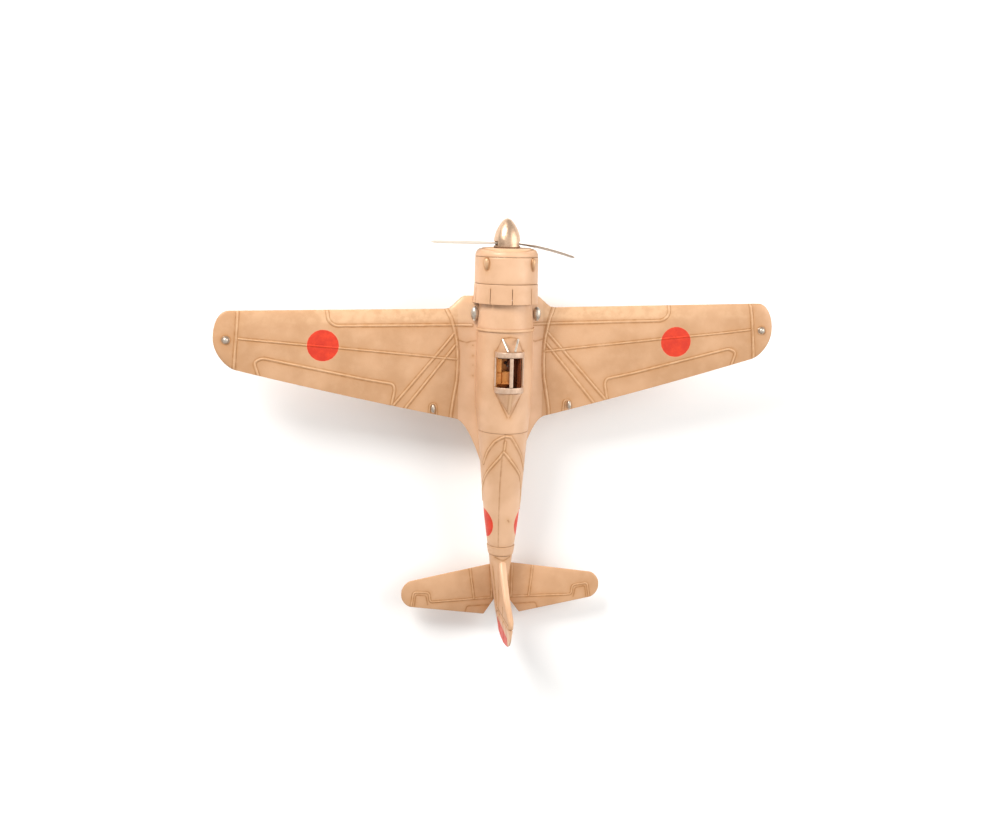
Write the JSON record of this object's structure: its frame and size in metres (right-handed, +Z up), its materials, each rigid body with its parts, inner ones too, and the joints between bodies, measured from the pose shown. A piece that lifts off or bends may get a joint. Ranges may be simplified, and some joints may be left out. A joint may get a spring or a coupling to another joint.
{
  "type": "propeller plane model",
  "caption": "Sheet-metal model of a low-wing single-engine propeller plane with open canopy frame, turning propeller and rolling wheels.",
  "frame": {"origin": "centre of the bounding box's base, on the ground under the wheels", "axes": "+X towards the plane's port wing, +Y towards the tail, +Z up; the fuselage stands nose up by 10 degrees on its three wheels"},
  "size_m": [0.4196, 0.3168, 0.0907],
  "materials": {
    "cream_paint": "satin cream paint with a brown wash in the grooves",
    "champagne_metal": "satin champagne metal",
    "beige_metal": "dull beige sheet metal",
    "silver_metal": "satin silver",
    "dark_metal": "dark satin",
    "brown_paint": "matt brown paint",
    "black_rubber": "matt black"
  },
  "bodies": {
    "airframe": {"axle_left": "silver_metal", "axle_right": "silver_metal", "canopy_fairing": "cream_paint", "canopy_hoop_front": "silver_metal", "canopy_hoop_rear": "silver_metal", "canopy_sill_left": "silver_metal", "canopy_sill_right": "silver_metal", "canopy_top_bar": "silver_metal", "cockpit_tub": "brown_paint", "control_stick": "dark_metal", "cowl_barrel": "cream_paint", "cowl_blister_left": "champagne_metal", "cowl_blister_right": "champagne_metal", "cowl_flaps": "cream_paint", "engine": "dark_metal", "exhaust_left": "silver_metal", "exhaust_right": "silver_metal", "fin": "cream_paint", "firewall": "dark_metal", "front_fuselage": "cream_paint", "fuselage_band": "cream_paint", "gear_leg_left": "silver_metal", "gear_leg_right": "silver_metal", "instrument_panel": "dark_metal", "nose_ring": "cream_paint", "rear_fuselage_left": "cream_paint", "rear_fuselage_right": "cream_paint", "root_lamp_left": "silver_metal", "root_lamp_right": "silver_metal", "rudder": "cream_paint", "seat": "brown_paint", "stabilizer_left": "cream_paint", "stabilizer_right": "cream_paint", "tail_axle": "silver_metal", "tail_band": "cream_paint", "tail_cone": "cream_paint", "tail_leg": "silver_metal", "tip_lamp_left": "silver_metal", "tip_lamp_right": "silver_metal", "windscreen_post_left": "silver_metal", "windscreen_post_right": "silver_metal", "wing_fillet_left": "cream_paint", "wing_fillet_right": "cream_paint", "wing_left_lower_skin": "cream_paint", "wing_left_upper_skin": "cream_paint", "wing_right_lower_skin": "cream_paint", "wing_right_upper_skin": "cream_paint", "wing_spar": "dark_metal", "wing_tip_left": "cream_paint", "wing_tip_right": "cream_paint"},
    "propeller_assembly": {"spinner": "champagne_metal", "propeller": "beige_metal", "propeller_backplate": "champagne_metal", "propeller_nut": "silver_metal", "propeller_shaft": "silver_metal"},
    "wheel_left": {"tyre_left": "black_rubber", "wheel_hub_left": "silver_metal"},
    "wheel_right": {"tyre_right": "black_rubber", "wheel_hub_right": "silver_metal"},
    "tail_wheel_body": {"tail_wheel": "black_rubber"}
  },
  "joints": [
    {"name": "propeller_spin", "type": "hinge", "parent": "airframe", "child": "propeller_assembly", "pos_m": [-0.00327, -0.14058, 0.0694], "axis": [-0.0218, -0.9846, 0.1736], "continuous": true},
    {"name": "wheel_left_roll", "type": "hinge", "parent": "airframe", "child": "wheel_left", "pos_m": [0.061, -0.07967, 0.01195], "axis": [1, 0, 0], "continuous": true},
    {"name": "wheel_right_roll", "type": "hinge", "parent": "airframe", "child": "wheel_right", "pos_m": [-0.061, -0.07967, 0.01195], "axis": [1, 0, 0], "continuous": true},
    {"name": "tail_wheel_roll", "type": "hinge", "parent": "airframe", "child": "tail_wheel_body", "pos_m": [0.00247, 0.11505, 0.00496], "axis": [0.9998, -0.0215, 0.0038], "continuous": true}
  ]
}
